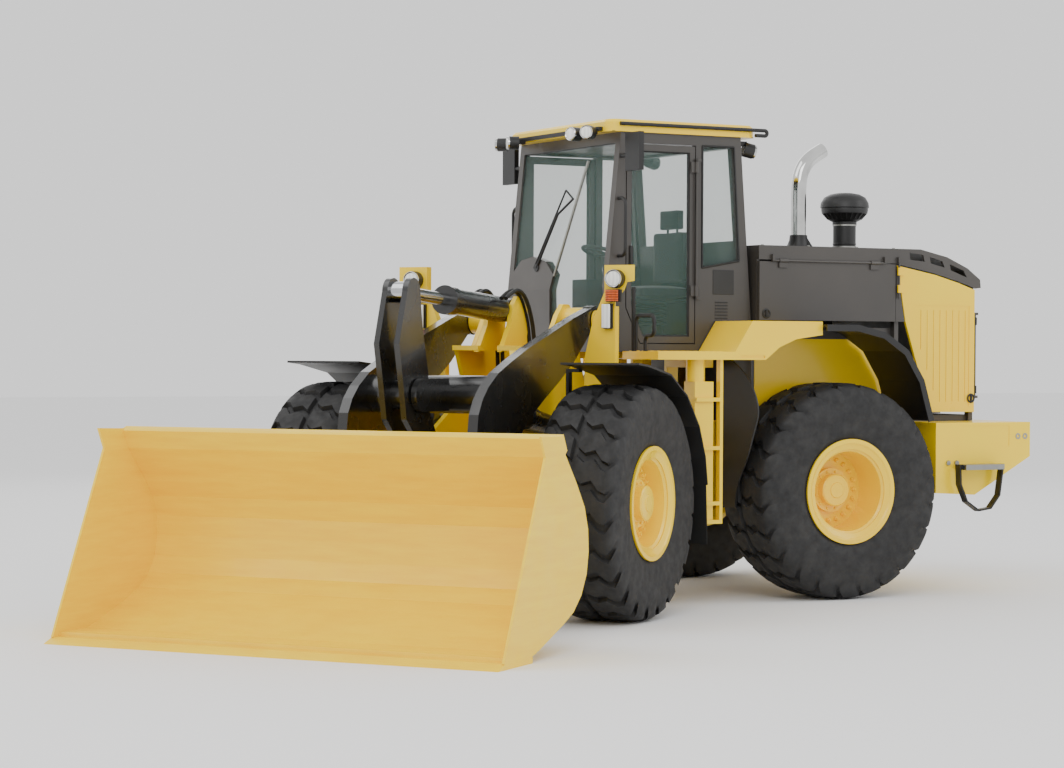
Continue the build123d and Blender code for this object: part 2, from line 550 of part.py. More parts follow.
LAMP_X = 1045
POST_INNER = [(559, 1480), (559, 1807), (620, 2070), (712, 2283), (712, 2475)]
POST_OUTER = [(942, 2475), (942, 2361), (885, 2352), (865, 2300), (796, 2210), (796, 1480)]
lamp_post = front_plate(POST_INNER + POST_OUTER, LAMP_X, LAMP_X + 10)
lamp_post += front_plate(thicken(POST_INNER, 10), LAMP_X - 60, LAMP_X)
lamp_post += block(LAMP_X - 60, LAMP_X, 786, 796, 1440, 2180)
lamp_post += block(LAMP_X - 60, LAMP_X + 10, 780, 900, 1440, 1530)
fender_skin = thicken(fender_top[:5], 14 + SOFT_GAP)[5:]
below_fender = fender_skin + [(1980, 1200), (841, 1200)]
lamp_post -= side_plate(below_fender, 779, 1400)
add("lamp_brackets", both_sides(lamp_post), front=True)
lamp_face = LAMP_X + 10 + SOFT_GAP
lamp = rod_between((lamp_face, 808, 2376), (lamp_face + 60, 808, 2376), 66)
lamp += block(lamp_face, lamp_face + 30, 735, 850, 2212, 2300)
lamp += block(lamp_face, lamp_face + 22, 712, 782, 2020, 2198)
add("head_lamps", both_sides(lamp), front=True)

# Boom
BX, BZ = BUCKET_PIVOT
CX, CZ = BELL_PIVOT
arm_outline = [
    (768, 2190), (1168, 2095), (1604, 1970), (1940, 1878), (2185, 1796), (2423, 1709), (2578, 1616),
    (2670, 1531), (2730, 1433), (2755, 1282), (3062, 685), (3292, 400), (3190, 262), (2850, 650),
    (2560, 960), (2081, 1269), (1934, 1382), (1684, 1516), (1427, 1639), (1164, 1780), (894, 1975), (750, 2010),
]
arm = side_plate(arm_outline, ARM_Y - ARM_HALF, ARM_Y + ARM_HALF)
arm += pin_y(A_X, A_Z, 105, ARM_Y - ARM_HALF, ARM_Y + ARM_HALF)
arm += pin_y(BX, BZ, 95, ARM_Y - ARM_HALF, ARM_Y + ARM_HALF)
arm -= pin_y(A_X, A_Z, PIN + RUNNING_FIT, 0, 700) + pin_y(BX, BZ, PIN + RUNNING_FIT, 0, 700)
lift_x, lift_z = LIFT_EYE
arm += pin_y(lift_x, lift_z, 85, ARM_Y - ARM_HALF - 8, ARM_Y)
TUBE = (2330, 1560)
TUBE_RADIUS = 130
boom = both_sides(arm) + pin_y(*TUBE, TUBE_RADIUS, -ARM_Y, ARM_Y)
boom_ear = rounded_link([TUBE, BELL_PIVOT], 110, BELL_Y + GAP + 4, BELL_Y + GAP + 44)
boom_pin = pin_y(CX, CZ, PIN + 5, 0, BELL_Y + GAP + 50)
boom += both_sides(boom_ear + boom_pin)
add("boom", boom, front=True)

# Bell crank, two plates side by side
DX, DZ = ROD_EYE
EX, EZ = LINK_TOP
INNER_Y = BELL_Y - BELL_PLATE
bell_outline = [(DX - 95, DZ - 20), (DX - 130, 2000), (CX - 165, 1700), (CX - 150, 1500), (EX - 85, EZ + 30),
                (EX + 20, EZ - 90), (EX + 95, EZ - 20), (CX + 150, 1400), (CX + 190, 1600), (DX + 210, 1900),
                (DX + 90, DZ + 20)]
bell = side_plate(bell_outline, INNER_Y, BELL_Y)
for x, z, radius in ((DX, DZ, 95), (EX, EZ, 95), (CX, CZ, 150)):
    bell += pin_y(x, z, radius, INNER_Y, BELL_Y)
bell = both_sides(bell) + pin_y(CX, CZ, 100, -INNER_Y, INNER_Y) - pin_y(CX, CZ, PIN + 5 + RUNNING_FIT, -200, 200)
bell += pin_y(EX, EZ, PIN, -BELL_Y - 10, BELL_Y + 10)
add("bellcrank", bell, front=True)

EYE_HALF = INNER_Y - SOFT_GAP
link = rounded_link([LINK_TOP, LINK_FRONT], 55, -EYE_HALF, EYE_HALF) + pin_y(*LINK_TOP, 85, -EYE_HALF, EYE_HALF)
link += pin_y(*LINK_FRONT, 68, -EYE_HALF, EYE_HALF)
link -= pin_y(*LINK_TOP, PIN + RUNNING_FIT, -100, 100)
add("tilt_link", link, front=True)

# Bucket
shell_line = [(3754, 1336), (3692, 1224), (3522, 1045), (3395, 890), (3340, 750), (3330, 610), (3360, 470),
              (3440, 345), (3560, 250), (3720, 185), (4060, 70), (4180, 36), (4480, 36)]
shell = side_plate(thicken(shell_line, -28), -BUCKET_HALF + 3, BUCKET_HALF - 3)
shell += side_plate([(3754, 1336), (3692, 1224), (3660, 1250), (3716, 1350)], -BUCKET_HALF + 3, BUCKET_HALF - 3)
cheek = side_plate([(4050, 1344)] + shell_line[:-1] + [(4560, 36), (4540, 75), (3985, 1215)],
                   BUCKET_HALF - BUCKET_WALL, BUCKET_HALF)
bucket = shell + both_sides(cheek)
ear_line = [(3215, 430), (3335, 620), (3350, 500), (3440, 350), (3560, 252), (3420, 225), (3215, 250)]
for y in (ARM_Y - ARM_HALF - 14 - 40, ARM_Y + ARM_HALF + 14):
    ear = side_plate(ear_line, y, y + 40) + pin_y(BX, BZ, 95, y, y + 40)
    bucket += both_sides(ear)
bucket += both_sides(pin_y(BX, BZ, PIN, ARM_Y - 100, ARM_Y + 100))
fx, fz = LINK_FRONT
link_ear = side_plate([(fx, fz + 85), (3400, 895), (3345, 740), (3345, 560), (fx, fz - 85)], INNER_Y, BELL_Y)
bucket += both_sides(link_ear + pin_y(fx, fz, 85, INNER_Y, BELL_Y))
add("bucket", bucket, front=True)
add("cutting_edge", side_plate([(4160, 0), (4640, 0), (4545, 36), (4160, 36)], -BUCKET_HALF, BUCKET_HALF), front=True)


def ram(base, eye, y, barrel_radius, rod_radius, head_share, eye_half, piston):
    """Barrel and rod between two points of the side view, at distance y from the middle.
    piston is how far from the base the rod ends inside the barrel."""
    (xa, za), (xb, zb) = base, eye
    length = math.hypot(xb - xa, zb - za)
    ux, uz = (xb - xa) / length, (zb - za) / length
    at = lambda d: (xa + ux * d, y, za + uz * d)
    head = length * head_share
    barrel = pin_y(xa, za, barrel_radius - 8, y - eye_half, y + eye_half)
    barrel += rod_between(at(0), at(140), eye_half - 4) + rod_between(at(130), at(head), barrel_radius)
    barrel += rod_between(at(head - 90), at(head + 10), barrel_radius + 9)
    barrel -= rod_between(at(150), at(head + 11), rod_radius + 0.2)
    barrel -= pin_y(xa, za, PIN + RUNNING_FIT, y - eye_half - 1, y + eye_half + 1)
    rod = rod_between(at(piston), at(length - 40), rod_radius)
    rod += pin_y(xb, zb, rod_radius + 25, y - eye_half, y + eye_half)
    return barrel, rod


tilt_barrel, tilt_rod = ram(TILT_BASE, ROD_EYE, 0, 92, 45, 0.60, EYE_HALF, 575)
add("tilt_barrel", tilt_barrel, front=True)
add("tilt_rod", tilt_rod, front=True)
left_barrel, left_rod = ram(LIFT_BASE, LIFT_EYE, LIFT_Y, 78, 45, 0.88, LIFT_EYE_HALF, 180)
add("lift_barrels", both_sides(left_barrel), front=True)
add("lift_rods", both_sides(left_rod), front=True)

# Steering rams, lying flat beside the pivot
STEER_BARREL = 650
STEER_ROD = 595
turn = math.radians(FRONT_TURN)
for name, side in (("left", 1), ("right", -1)):
    bx, by = STEER_BASE[0], side * STEER_BASE[1]
    ex0, ey0 = STEER_EYE[0], side * STEER_EYE[1]
    ex = ex0 * math.cos(turn) - ey0 * math.sin(turn)
    ey = ex0 * math.sin(turn) + ey0 * math.cos(turn)
    length = math.hypot(ex - bx, ey - by)
    ux, uy = (ex - bx) / length, (ey - by) / length
    at = lambda d: (bx + ux * d, by + uy * d, STEER_Z)
    barrel = rod_between((bx, by, STEER_Z - STEER_EYE_HALF), (bx, by, STEER_Z + STEER_EYE_HALF), 55)
    barrel += rod_between(at(30), at(STEER_BARREL), 48)
    barrel -= rod_between(at(85), at(STEER_BARREL + 1), 28.2)
    barrel -= rod_between((bx, by, STEER_Z - 99), (bx, by, STEER_Z + 99), STEER_PIN + RUNNING_FIT)
    add(f"steer_barrel_{name}", barrel)
    rod = rod_between(at(length - 30 - STEER_ROD), at(length - 30), 28)
    rod += rod_between((ex, ey, STEER_Z - STEER_EYE_HALF), (ex, ey, STEER_Z + STEER_EYE_HALF), 45)
    add(f"steer_rod_{name}", rod)

# Lamps, mirrors, rails and steps
lamp_bar = block(ROOF_FRONT + SOFT_GAP, ROOF_FRONT + 35, -690, 690, ROOF_LOW + 8, ROOF_LOW + 36)
cab_lamp = lamp_bar
for y, outward in ((469, 20), (654, 40)):
    aim = (math.cos(math.radians(outward)), math.sin(math.radians(outward)))
    lamp = block(ROOF_FRONT + 30, ROOF_FRONT + 90, y - 14, y + 14, ROOF_LOW - 18, ROOF_LOW + 20)
    lamp += rod_between((ROOF_FRONT + 85, y, 3468), (ROOF_FRONT + 85 + 75 * aim[0], y + 75 * aim[1], 3468), 52)
    cab_lamp += both_sides(lamp)
rear_lamp = block(-1100, -1014.6, 670, 730, 3420, 3455)
rear_lamp += rod_between((-1085, 700, 3398), (-1160, 720, 3380), 56)
cab_lamp += both_sides(rear_lamp)
add("cab_lamps", cab_lamp)
mirror_arm = rod_between((30, CAB_HALF + SOFT_GAP, 3300), (30, 1000, 3300), 16)
add("mirrors", both_sides(mirror_arm + block(10, 50, 865, 1067, 3180, 3460)))
foot_z = DECK_TOP + SOFT_GAP
rail = bent_tube([(0, 955, foot_z), (0, 955, 2121), (0, 1210, 2121), (0, 1210, 1975), (0, 1085, 1975),
                  (0, 1085, foot_z)], 45, RAIL_RADIUS)
rail += rod_between((0, 915, foot_z), (0, 915, 2330), RAIL_RADIUS)
cab_face = CAB_HALF + SOFT_GAP
rail += bent_tube([(52, cab_face, 2985), (52, 880, 2985), (52, 880, 2560), (52, cab_face, 2560)], 55, 12)
roof_y = ROOF_HALF + SOFT_GAP + 14
rail += bent_tube([(60, roof_y, 3535), (-1225, roof_y, 3535), (-1225, roof_y, 3495), (-1120, roof_y, 3495)], 19, 14)
add("handrails", both_sides(rail))
STEP_LOW, STEP_HIGH = 960, 1000
step_y = COUNTER_HALF + SOFT_GAP
step = block(-3060, -2690, step_y, 1390, STEP_LOW, STEP_HIGH)
add("rear_steps", both_sides(step))
strap_line = [(-2674, STEP_HIGH), (-2680, 850), (-2740, 720), (-2850, 650), (-2960, 665), (-3040, 760), (-3076, STEP_HIGH)]
strap = side_plate(thicken(strap_line, -14), 1290, 1350) + block(-2690 + SOFT_GAP, -2670, 1290, 1350, 970, STEP_HIGH)
strap += block(-3090, -3060 - SOFT_GAP, 1290, 1350, 970, STEP_HIGH)
add("step_straps", both_sides(strap))

# The origin goes to the middle of the overall box on the ground
overall = Compound(children=list(nodes.values()))
box = overall.bounding_box()
shift = Pos(-(box.min.X + box.max.X) / 2, -(box.min.Y + box.max.Y) / 2, -box.min.Z)
os.makedirs("parts", exist_ok=True)
for name, shape in nodes.items():
    placed = Compound(children=[shift * solid for solid in shape.solids()])
    placed.label = name
    export_step(placed, f"parts/{name}.step")
print("nodes", len(nodes))
print("shift", shift.position.X, shift.position.Y, shift.position.Z)
print("size", box.size.X, box.size.Y, box.size.Z)
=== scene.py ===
import json
import math

import bmesh
import bpy
from mathutils import Matrix, Vector


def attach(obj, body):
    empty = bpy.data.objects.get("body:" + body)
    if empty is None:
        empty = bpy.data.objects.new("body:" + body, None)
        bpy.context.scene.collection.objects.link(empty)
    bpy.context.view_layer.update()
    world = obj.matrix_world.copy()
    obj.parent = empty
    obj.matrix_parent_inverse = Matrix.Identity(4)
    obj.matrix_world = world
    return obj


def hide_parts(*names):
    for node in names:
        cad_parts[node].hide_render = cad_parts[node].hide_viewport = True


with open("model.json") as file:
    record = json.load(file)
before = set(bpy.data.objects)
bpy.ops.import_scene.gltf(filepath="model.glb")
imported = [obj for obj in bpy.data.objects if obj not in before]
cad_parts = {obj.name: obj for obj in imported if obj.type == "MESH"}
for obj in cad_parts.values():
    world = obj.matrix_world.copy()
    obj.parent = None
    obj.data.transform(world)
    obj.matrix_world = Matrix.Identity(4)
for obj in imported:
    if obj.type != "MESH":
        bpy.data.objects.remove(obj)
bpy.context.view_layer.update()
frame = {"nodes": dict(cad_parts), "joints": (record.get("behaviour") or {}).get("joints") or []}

# Placing things: the machine's own millimetres, from the ground under its middle hinge

MM = 0.001
joints = {joint["name"]: joint for joint in frame["joints"]}
hinge_x, hinge_y, _ = joints["articulation"]["pos_m"]
FRONT_TURN = math.radians(37)
REAR = Matrix.Translation((hinge_x, hinge_y, 0)) @ Matrix.Scale(MM, 4)
FRONT = REAR @ Matrix.Rotation(FRONT_TURN, 4, "Z")
AXLE_X = 1651.5
AXLE_Z = 815
TYRE_Y = 1060
SIDES = (("left", 1), ("right", -1))
HOOD_SIDE = 860
HOOD_TOP = 2668
EXHAUST_X = -2071
INTAKE_X = -2519
DECK_TOP = 1860
ROOF_LOW = 3478
CAB_SIDE = 781
COUNTERWEIGHT_SIDE = 1250
UP = (0, 0, 1)

# Materials

# The colour sockets of the node that mixes two tones
MIX_FIRST = 6
MIX_SECOND = 7
MIX_RESULT = 2


def hex_colour(text):
    """An sRGB hex value as linear red, green, blue and alpha."""
    channels = [int(text[i:i + 2], 16) / 255 for i in (1, 3, 5)]
    linear = [c / 12.92 if c <= 0.04045 else ((c + 0.055) / 1.055) ** 2.4 for c in channels]
    return (*linear, 1.0)


def add_node(tree, kind, settings=None, links=None):
    """One shader node. settings go to its inputs or its own fields, links to its inputs."""
    node = tree.nodes.new(kind)
    for key, value in (settings or {}).items():
        if isinstance(key, int) or key in node.inputs:
            node.inputs[key].default_value = value
        else:
            setattr(node, key, value)
    for key, output in (links or {}).items():
        tree.links.new(output, node.inputs[key])
    return node


def new_material(name):
    material = bpy.data.materials.new(name)
    material.use_nodes = True
    tree = material.node_tree
    shader = tree.nodes["Principled BSDF"]
    place = add_node(tree, "ShaderNodeTexCoord").outputs["Object"]
    return material, tree, shader, place


def drift(tree, place, size_mm, seen, given=(0.0, 1.0), detail=3.0, roughness=0.5):
    """A value that wanders over the surface in patches of about size_mm. seen is the part of the
    pattern's range that is used, and given is the range that comes out."""
    settings = {"Scale": 1000 / size_mm, "Detail": detail, "Roughness": roughness}
    patches = add_node(tree, "ShaderNodeTexNoise", settings, {"Vector": place}).outputs["Fac"]
    spread = {"From Min": seen[0], "From Max": seen[1], "To Min": given[0], "To Max": given[1]}
    return add_node(tree, "ShaderNodeMapRange", spread, {"Value": patches}).outputs["Result"]


def skin_relief(tree, shader, place, size_mm, detail, strength, depth_mm):
    """The fine unevenness of a sprayed or moulded skin, in lumps of about size_mm."""
    settings = {"Scale": 1000 / size_mm, "Detail": detail, "Roughness": 0.5}
    lumps = add_node(tree, "ShaderNodeTexNoise", settings, {"Vector": place}).outputs["Fac"]
    relief = add_node(tree, "ShaderNodeBump", {"Strength": strength, "Distance": depth_mm * MM},
                      {"Height": lumps})
    tree.links.new(relief.outputs["Normal"], shader.inputs["Normal"])


def two_tones(tree, shader, share, first, second):
    """The surface's own colour, between two tones."""
    tones = add_node(tree, "ShaderNodeMix", {"data_type": "RGBA", MIX_FIRST: first, MIX_SECOND: second},
                     {"Factor": share})
    tree.links.new(tones.outputs[MIX_RESULT], shader.inputs["Base Color"])
    return tones.outputs[MIX_RESULT]


def dimmed(colour, share):
    return (*[channel * share for channel in colour[:3]], 1.0)


def enamel(name, colour, shade, roughness, coat=0.35):
    """Sprayed machine enamel: an even coat with a faint orange peel and a little drift in tone."""
    material, tree, shader, place = new_material(name)
    tone = drift(tree, place, 900, (0.35, 0.65), detail=4)
    two_tones(tree, shader, tone, hex_colour(colour), hex_colour(shade))
    gloss = drift(tree, place, 260, (0.3, 0.7), (roughness - 0.05, roughness + 0.07), 5)
    tree.links.new(gloss, shader.inputs["Roughness"])
    skin_relief(tree, shader, place, 9, 2, 0.12, 0.6)
    shader.inputs["Coat Weight"].default_value = coat
    shader.inputs["Coat Roughness"].default_value = 0.12
    return material


def worn_enamel(name, colour, shade, scuff):
    """The bucket's enamel: warmer and duller, with fine scuffs that run with the load."""
    material, tree, shader, place = new_material(name)
    along_load = {"Scale": (1.0, 1.0, 9.0)}
    streaks = add_node(tree, "ShaderNodeMapping", along_load, {"Vector": place}).outputs["Vector"]
    tone = drift(tree, streaks, 420, (0.35, 0.7), detail=6, roughness=0.6)
    paint = two_tones(tree, shader, tone, hex_colour(colour), hex_colour(shade))
    marks = drift(tree, streaks, 60, (0.68, 0.76), (0.0, 0.35), 8, 0.7)
    scuffed = add_node(tree, "ShaderNodeMix", {"data_type": "RGBA", MIX_SECOND: hex_colour(scuff)},
                       {"Factor": marks, MIX_FIRST: paint})
    tree.links.new(scuffed.outputs[MIX_RESULT], shader.inputs["Base Color"])
    tree.links.new(drift(tree, place, 200, (0.3, 0.7), (0.34, 0.5), 5), shader.inputs["Roughness"])
    skin_relief(tree, shader, place, 12, 3, 0.15, 0.8)
    shader.inputs["Coat Weight"].default_value = 0.12
    return material


def rubber(name, colour, shade, grain_mm=5, roughness=0.72):
    """Vulcanised rubber: near black, dull, with a fine moulded grain and a breath of dust."""
    material, tree, shader, place = new_material(name)
    dust = drift(tree, place, 150, (0.4, 0.75), detail=6, roughness=0.65)
    two_tones(tree, shader, dust, hex_colour(colour), hex_colour(shade))
    dullness = drift(tree, place, 60, (0.3, 0.7), (roughness - 0.14, roughness + 0.1), 4)
    tree.links.new(dullness, shader.inputs["Roughness"])
    skin_relief(tree, shader, place, grain_mm, 4, 0.3, 1.0)
    return material


def moulded_plastic(name, colour, roughness=0.5, grain_mm=3):
    """Moulded plastic: one colour right through, with a leather-like mould grain."""
    material, tree, shader, place = new_material(name)
    base = hex_colour(colour)
    lighter = (*[min(1, channel * 1.35 + 0.002) for channel in base[:3]], 1.0)
    two_tones(tree, shader, drift(tree, place, 300, (0.3, 0.7)), base, lighter)
    shader.inputs["Roughness"].default_value = roughness
    cells = add_node(tree, "ShaderNodeTexVoronoi", {"Scale": 1000 / grain_mm}, {"Vector": place})
    relief = add_node(tree, "ShaderNodeBump", {"Strength": 0.25, "Distance": 0.5 * MM},
                      {"Height": cells.outputs["Distance"]})
    tree.links.new(relief.outputs["Normal"], shader.inputs["Normal"])
    return material


def metal(name, colour, roughness, brushed_mm=None, spread=0.06):
    """Bare metal: its tone drifts slightly, and a brushed one has fine lines along its length."""
    material, tree, shader, place = new_material(name)
    shader.inputs["Metallic"].default_value = 1.0
    base = hex_colour(colour)
    two_tones(tree, shader, drift(tree, place, 180, (0.3, 0.7), detail=4), base, dimmed(base, 0.75))
    gloss = drift(tree, place, 50, (0.3, 0.7), (max(0.02, roughness - spread), roughness + spread), 5)
    tree.links.new(gloss, shader.inputs["Roughness"])
    if brushed_mm:
        lines = add_node(tree, "ShaderNodeMapping", {"Scale": (1, 1, 0.05)}, {"Vector": place})
        skin_relief(tree, shader, lines.outputs["Vector"], brushed_mm, 2, 0.2, 0.2)
    return material


def tinted_glass(name, colour, alpha):
    """Toughened cab glass: clear with a green tint, so the seat shows through."""
    material, tree, shader, place = new_material(name)
    base = hex_colour(colour)
    two_tones(tree, shader, drift(tree, place, 1500, (0.3, 0.7), detail=1), base, dimmed(base, 0.9))
    shader.inputs["Roughness"].default_value = 0.02
    shader.inputs["IOR"].default_value = 1.5
    shader.inputs["Alpha"].default_value = alpha
    shader.inputs["Specular IOR Level"].default_value = 0.7
    return material


def lens(name, colour, glow):
    """A ribbed lamp lens over a bright bowl: the ribs are 60 mm apart, coarse enough to show."""
    material, tree, shader, place = new_material(name)
    ribs = add_node(tree, "ShaderNodeTexWave", {"Scale": 1000 / 60, "Distortion": 0.0}, {"Vector": place})
    base = hex_colour(colour)
    two_tones(tree, shader, ribs.outputs["Fac"], base, dimmed(base, 0.8))
    shader.inputs["Roughness"].default_value = 0.08
    shader.inputs["Coat Weight"].default_value = 1.0
    shader.inputs["Emission Color"].default_value = base
    shader.inputs["Emission Strength"].default_value = glow
    relief = add_node(tree, "ShaderNodeBump", {"Strength": 0.3, "Distance": 1.0 * MM},
                      {"Height": ribs.outputs["Fac"]})
    tree.links.new(relief.outputs["Normal"], shader.inputs["Normal"])
    return material


def woven_fabric(name, colour):
    """Seat cloth: a plain weave, its threads drawn 20 mm apart, coarse enough to show."""
    material, tree, shader, place = new_material(name)
    threads = []
    for way in ("X", "Z"):
        bands = {"Scale": 1000 / 20, "bands_direction": way}
        threads.append(add_node(tree, "ShaderNodeTexWave", bands, {"Vector": place}).outputs["Fac"])
    weave = add_node(tree, "ShaderNodeMath", {"operation": "MAXIMUM"}, {0: threads[0], 1: threads[1]})
    base = hex_colour(colour)
    two_tones(tree, shader, weave.outputs[0], base, dimmed(base, 1.8))
    shader.inputs["Roughness"].default_value = 0.9
    shader.inputs["Sheen Weight"].default_value = 0.3
    relief = add_node(tree, "ShaderNodeBump", {"Strength": 0.4, "Distance": 1.0 * MM},
                      {"Height": weave.outputs[0]})
    tree.links.new(relief.outputs["Normal"], shader.inputs["Normal"])
    return material


yellow = enamel("machine_yellow_enamel", "#FFDA00", "#FFD200", 0.32)
bucket_yellow = worn_enamel("bucket_yellow_enamel", "#FFD800", "#F9CB00", "#DDA808")
dark_grey = enamel("dark_grey_enamel", "#45413D", "#3D3A37", 0.4, 0.2)
gloss_black = enamel("gloss_black_enamel", "#141414", "#1B1B1B", 0.25, 0.5)
tyre_rubber = rubber("tyre_rubber", "#1B1B1C", "#2A2928")
hose_rubber = rubber("hose_rubber", "#101010", "#1A1A1A", 4, 0.5)
black_plastic = moulded_plastic("black_moulded_plastic", "#151515", 0.45)
trim_plastic = moulded_plastic("cab_trim_plastic", "#242424", 0.6)
chrome_plate = metal("chrome_plate", "#D8D8D6", 0.08)
hard_chrome = metal("hard_chrome_rod", "#C9CACB", 0.14)
zinc_steel = metal("zinc_plated_steel", "#A9A9A4", 0.38, 2)
cast_iron = metal("painted_cast_iron", "#3A3836", 0.6)
cooler_metal = metal("cooler_aluminium", "#8E8F90", 0.45, 3)
cab_glass = tinted_glass("tinted_cab_glass", "#6F938A", 0.13)
clear_lens = lens("clear_lamp_lens", "#F4F4EE", 0.15)
amber_lens = lens("amber_lamp_lens", "#E8641A", 0.1)
red_lens = lens("red_lamp_lens", "#B01010", 0.1)
seat_cloth = woven_fabric("seat_cloth", "#1C1C1E")

# Finishes of the pieces that come from the frame


def finish_of(name):
    """The finish of each frame node, found by what its name says."""
    table = (
        (("tyre",), tyre_rubber),
        (("rim",), yellow),
        (("glass",), cab_glass),
        (("bucket", "cutting_edge"), bucket_yellow),
        (("tilt_rod", "lift_rods", "steer_rod"), hard_chrome),
        (("boom", "bellcrank", "tilt_link", "tilt_barrel", "lift_barrels", "steer_barrel"), gloss_black),
        (("cab_roof", "platforms", "chassis", "lamp_brackets", "counterweight", "cooler_door"), yellow),
        (("cab_frame", "cab_door", "hood", "engine_door"), dark_grey),
        (("exhaust",), chrome_plate),
        (("axle", "engine_block"), cast_iron),
        (("cooler",), cooler_metal),
        (("seat",), seat_cloth),
        (("rear_steps",), zinc_steel),
        (("step_straps",), hose_rubber),
        (("fender", "precleaner", "lamp", "mirror", "handrail", "grille"), black_plastic),
        (("controls", "fan"), trim_plastic),
    )
    for words, material in table:
        if any(word in name for word in words):
            return material
    return black_plastic


def shade(mesh, angle=32):
    mesh.shade_smooth()
    mesh.set_sharp_from_angle(angle=math.radians(angle))


for name, node in frame["nodes"].items():
    node.data.materials.clear()
    node.data.materials.append(finish_of(name))

# Making pieces


def make_piece(name, mesh, body, material, place=REAR, bevel_mm=0.0, sharp=32):
    """Puts a mesh, drawn in machine millimetres, in place and on its body."""
    mesh.transform(place)
    if place.to_3x3().determinant() < 0:
        mesh.flip_normals()
    mesh.materials.append(material)
    shade(mesh, sharp)
    piece = bpy.data.objects.new(name, mesh)
    bpy.context.collection.objects.link(piece)
    if bevel_mm:
        edge = piece.modifiers.new("edge", "BEVEL")
        edge.width = bevel_mm * MM
        edge.segments = 2
        edge.limit_method = "ANGLE"
        edge.angle_limit = math.radians(40)
    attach(piece, body)
    return piece


def finished_mesh(bm, name):
    bmesh.ops.recalc_face_normals(bm, faces=bm.faces)
    mesh = bpy.data.meshes.new(name)
    bm.to_mesh(mesh)
    bm.free()
    return mesh


def add_box(bm, low, high):
    """A box whose edges make_piece can round over."""
    centre = (Vector(low) + Vector(high)) / 2
    size = Vector(high) - Vector(low)
    matrix = Matrix.Translation(centre) @ Matrix.Diagonal((*size, 1))
    bmesh.ops.create_cube(bm, size=1, matrix=matrix)


def add_round(bm, start, end, radius, end_radius=None, sides=24):
    """A round bar or cone between two points."""
    a, b = Vector(start), Vector(end)
    along = (b - a).normalized()
    turn = along.to_track_quat("Z", "Y").to_matrix().to_4x4()
    matrix = Matrix.Translation((a + b) / 2) @ turn
    bmesh.ops.create_cone(bm, cap_ends=True, segments=sides, radius1=radius, matrix=matrix,
                          radius2=radius if end_radius is None else end_radius, depth=(b - a).length)


def add_spun(bm, profile, centre, axis, steps=48):
    """A closed ring of (radius, height) points spun about an axis through centre."""
    turn = Vector(axis).normalized().to_track_quat("Z", "Y").to_matrix().to_4x4()
    matrix = Matrix.Translation(centre) @ turn
    rings = []
    for step in range(steps):
        angle = 2 * math.pi * step / steps
        across, along = math.cos(angle), math.sin(angle)
        rings.append([bm.verts.new(matrix @ Vector((r * across, r * along, h))) for r, h in profile])
    count = len(profile)
    for step in range(steps):
        a, b = rings[step], rings[(step + 1) % steps]
        for i in range(count):
            j = (i + 1) % count
            bm.faces.new((a[i], b[i], b[j], a[j]))


def tube_mesh(points, radius, name, smooth=True, sides=5):
    """A bar or hose along a run of points."""
    curve = bpy.data.curves.new(name, "CURVE")
    curve.dimensions = "3D"
    curve.bevel_depth = radius
    curve.bevel_resolution = sides
    curve.use_fill_caps = True
    spline = curve.splines.new("NURBS" if smooth else "POLY")
    spline.points.add(len(points) - 1)
    for point, place in zip(spline.points, points):
        point.co = (*place, 1)
    if smooth:
        spline.order_u = 3
        spline.use_endpoint_u = True
        spline.resolution_u = 10
    holder = bpy.data.objects.new(name, curve)
    mesh = bpy.data.meshes.new_from_object(holder)
    bpy.data.objects.remove(holder)
    bpy.data.curves.remove(curve)
    return mesh


# Tyres and wheels

LUGS = 24
TREAD_HALF = (
    # distance from the tyre's middle, groove radius, lug radius
    (0, 784, 784), (14, 784, 784), (24, 784, 814), (80, 784, 815), (150, 782, 814), (205, 776, 808),
    (245, 760, 797), (272, 735, 780), (288, 712, 748), (294, 690, 706), (298, 660, 660), (300, 600, 600),
    (299, 560, 560), (294, 520, 520), (290, 470, 470), (284, 450, 450), (282, 430, 430), (266, 405, 405),
    (258, 375, 375), (226, 325, 325),
)
# Shares of a lug's pitch round the tyre, and whether the tread there is a lug's top or a groove
LUG_STEPS = ((0.0, False), (0.2, False), (0.25, True), (0.45, True), (0.7, True), (0.93, True), (0.98, False))
SHOULDER = 299
MIDDLE_RIB = 14


def lug_shift(distance):
    """How many pitches a lug leans round at a distance from the middle: an S out to the shoulder."""
    share = min(1.0, distance / 290)
    return 0.42 * math.sin(math.pi * (share - 0.15)) + 0.22 * math.sin(3 * math.pi * share)


def tyre_mesh(name):
    bm = bmesh.new()
    profile = [(-y, groove, lug, 0.5) for y, groove, lug in reversed(TREAD_HALF[1:])]
    profile += [(y, groove, lug, 0.0) for y, groove, lug in TREAD_HALF]
    columns = []
    for pitch in range(LUGS):
        for share, top in LUG_STEPS:
            column = []
            for y, groove, lug, stagger in profile:
                lean = lug_shift(min(abs(y), SHOULDER))
                if y < 0:
                    lean = -lean
                fade = min(1.0, abs(y) / MIDDLE_RIB)
                angle = 2 * math.pi * (pitch + share + (lean + stagger) * fade) / LUGS
                radius = lug if top else groove
                column.append(bm.verts.new((radius * math.sin(angle), y, radius * math.cos(angle))))
            columns.append(column)
    count = len(profile)
    for i, column in enumerate(columns):
        after = columns[(i + 1) % len(columns)]
        for j in range(count):
            k = (j + 1) % count
            bm.faces.new((column[j], after[j], after[k], column[k]))
    return finished_mesh(bm, name)


def wheel_place(end, side):
    base, x = (FRONT, AXLE_X) if end == "front" else (REAR, -AXLE_X)
    turn = Matrix() if side > 0 else Matrix.Rotation(math.pi, 4, "Z")
    return base @ Matrix.Translation((x, side * TYRE_Y, AXLE_Z)) @ turn


